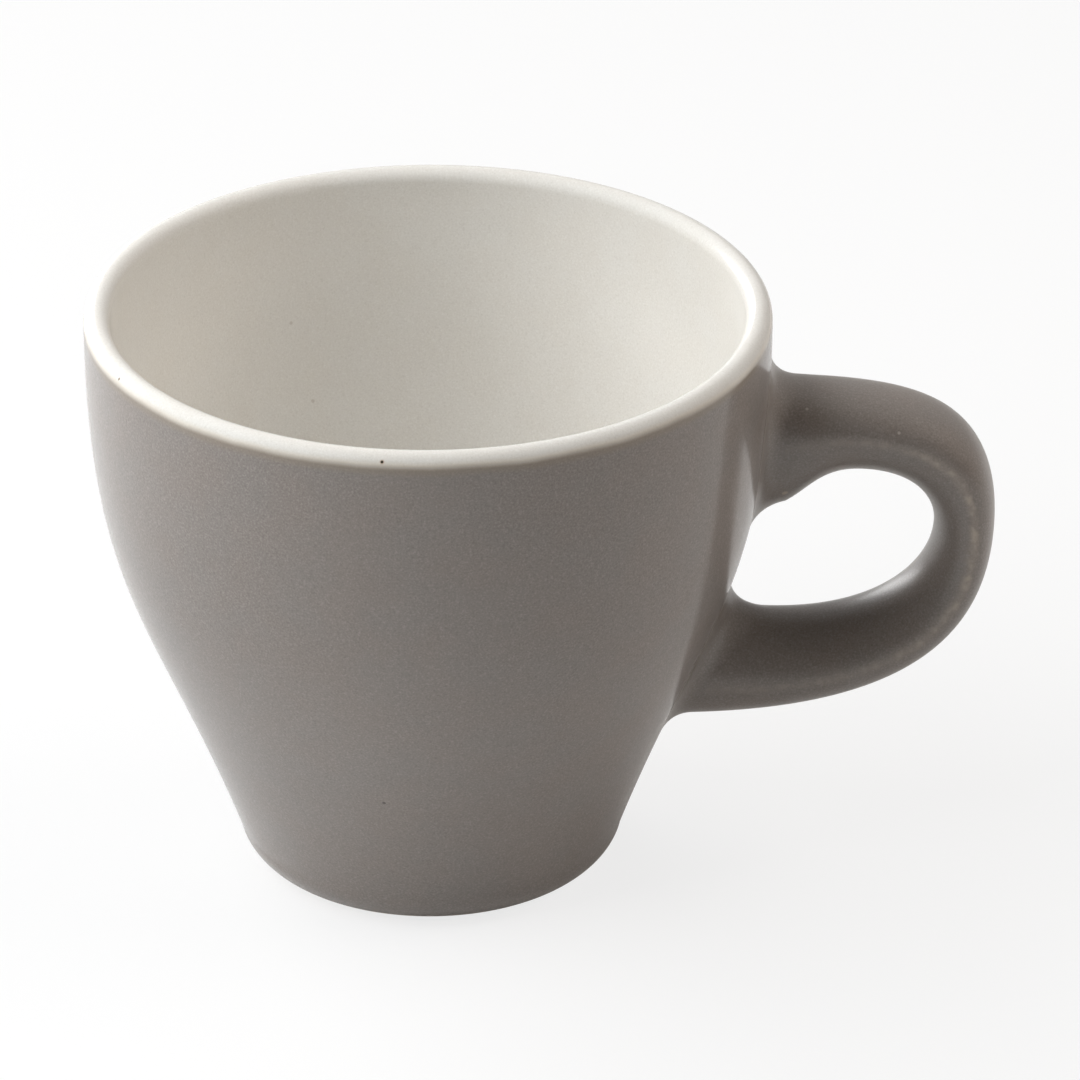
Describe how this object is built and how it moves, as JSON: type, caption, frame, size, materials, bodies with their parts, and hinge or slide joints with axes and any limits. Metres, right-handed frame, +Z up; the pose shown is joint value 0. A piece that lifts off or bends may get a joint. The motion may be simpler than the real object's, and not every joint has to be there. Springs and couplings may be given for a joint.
{
  "type": "cappuccino cup",
  "caption": "Wide-mouthed stoneware coffee cup on a low foot ring, with a looped side handle, grey glaze outside and white glaze inside and over the lip.",
  "frame": {"origin": "on the bowl's axis, in the plane of the foot ring that the cup stands on", "axes": "+Z up along the bowl's axis, +X towards the handle"},
  "size_m": [0.1105, 0.083, 0.0737],
  "materials": {
    "stoneware": "bare fired stoneware, fine and matt",
    "slip": "fired joining slip, matt, under the glaze",
    "white_glaze": "smooth glossy off-white glaze with fine iron specks",
    "grey_glaze": "satin warm grey glaze, finely speckled, lighter where it breaks over edges"
  },
  "bodies": {
    "root": {"bowl": "stoneware", "handle": "stoneware", "upper_joint": "slip", "lower_joint": "slip", "liner_glaze": "white_glaze", "outer_glaze": "grey_glaze", "handle_glaze": "grey_glaze"}
  },
  "joints": []
}
